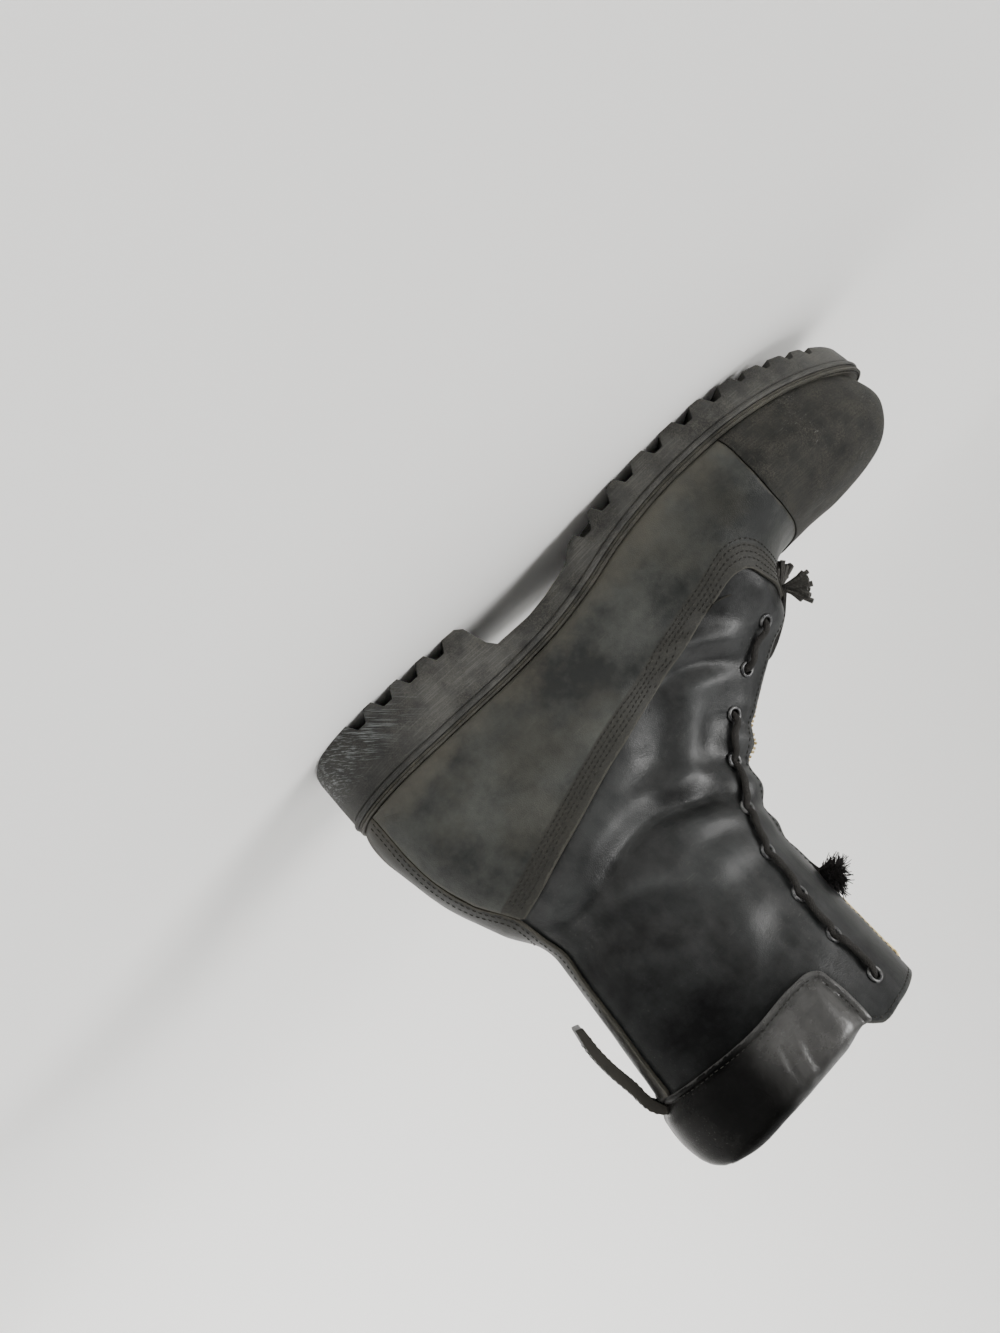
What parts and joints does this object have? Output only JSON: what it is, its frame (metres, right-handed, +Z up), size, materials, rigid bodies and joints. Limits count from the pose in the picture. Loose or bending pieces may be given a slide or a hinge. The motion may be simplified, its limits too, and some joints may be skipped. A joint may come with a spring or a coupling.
{
  "type": "firefighter boot",
  "caption": "Right black leather firefighter boot, lace-in front zip, rough rubber toe cap, lugged sole, padded collar and rear pull strap, standing empty.",
  "frame": {"origin": "centre of the boot's length and width, on the floor that its sole stands on", "axes": "+X towards the toe, +Y towards the medial (inner) side of this right boot, +Z up"},
  "size_m": [0.317, 0.114, 0.2318],
  "materials": {
    "sole_rubber": "worn matt black rubber",
    "welt": "dull dark brown-black welt strip",
    "footbed": "worn dark lining fabric",
    "shaft_leather": "smooth black leather, soft sheen, creased",
    "vamp_leather": "scuffed oiled leather, dull olive-grey",
    "cap_rubber": "rough rubberised scuff cap",
    "stay_leather": "smooth black leather, soft sheen",
    "collar_leather": "padded shiny black leather",
    "tongue_leather": "dark lined leather",
    "panel_leather": "smooth black leather",
    "zip_teeth": "darkened brass zip teeth",
    "zip_brass": "worn brass",
    "strap_leather": "stiff black leather strap",
    "lace": "waxed dark brown-black round lace",
    "eyelet_metal": "blackened metal, rims worn bright"
  },
  "bodies": {
    "boot": {"outsole": "sole_rubber", "welt": "welt", "insole": "footbed", "upper": "shaft_leather", "vamp": "vamp_leather", "toe_cap": "cap_rubber", "back_stay": "stay_leather", "collar": "collar_leather", "tongue": "tongue_leather", "zip_panel_medial": "panel_leather", "zip_panel_lateral": "panel_leather", "zip_chain": "zip_teeth", "zip_slider": "zip_brass", "pull_strap": "strap_leather", "lace_low_medial": "lace", "lace_high_medial": "lace", "lace_low_lateral": "lace", "lace_high_lateral": "lace", "lace_end_upper": "lace", "lace_end_lower": "lace", "lace_end_foot": "lace", "eyelet_medial_1": "eyelet_metal", "eyelet_medial_2": "eyelet_metal", "eyelet_medial_3": "eyelet_metal", "eyelet_medial_4": "eyelet_metal", "eyelet_medial_5": "eyelet_metal", "eyelet_medial_6": "eyelet_metal", "eyelet_medial_7": "eyelet_metal", "eyelet_medial_8": "eyelet_metal", "eyelet_medial_9": "eyelet_metal", "eyelet_lateral_1": "eyelet_metal", "eyelet_lateral_2": "eyelet_metal", "eyelet_lateral_3": "eyelet_metal", "eyelet_lateral_4": "eyelet_metal", "eyelet_lateral_5": "eyelet_metal", "eyelet_lateral_6": "eyelet_metal", "eyelet_lateral_7": "eyelet_metal", "eyelet_lateral_8": "eyelet_metal", "eyelet_lateral_9": "eyelet_metal"},
    "zip_pull": {"zip_pull": "zip_brass"}
  },
  "joints": [
    {"name": "zip_pull_hinge", "type": "hinge", "parent": "boot", "child": "zip_pull", "pos_m": [-0.0272, 0.001, 0.2193], "axis": [0, -1, 0], "range_deg": [0, 150]}
  ]
}
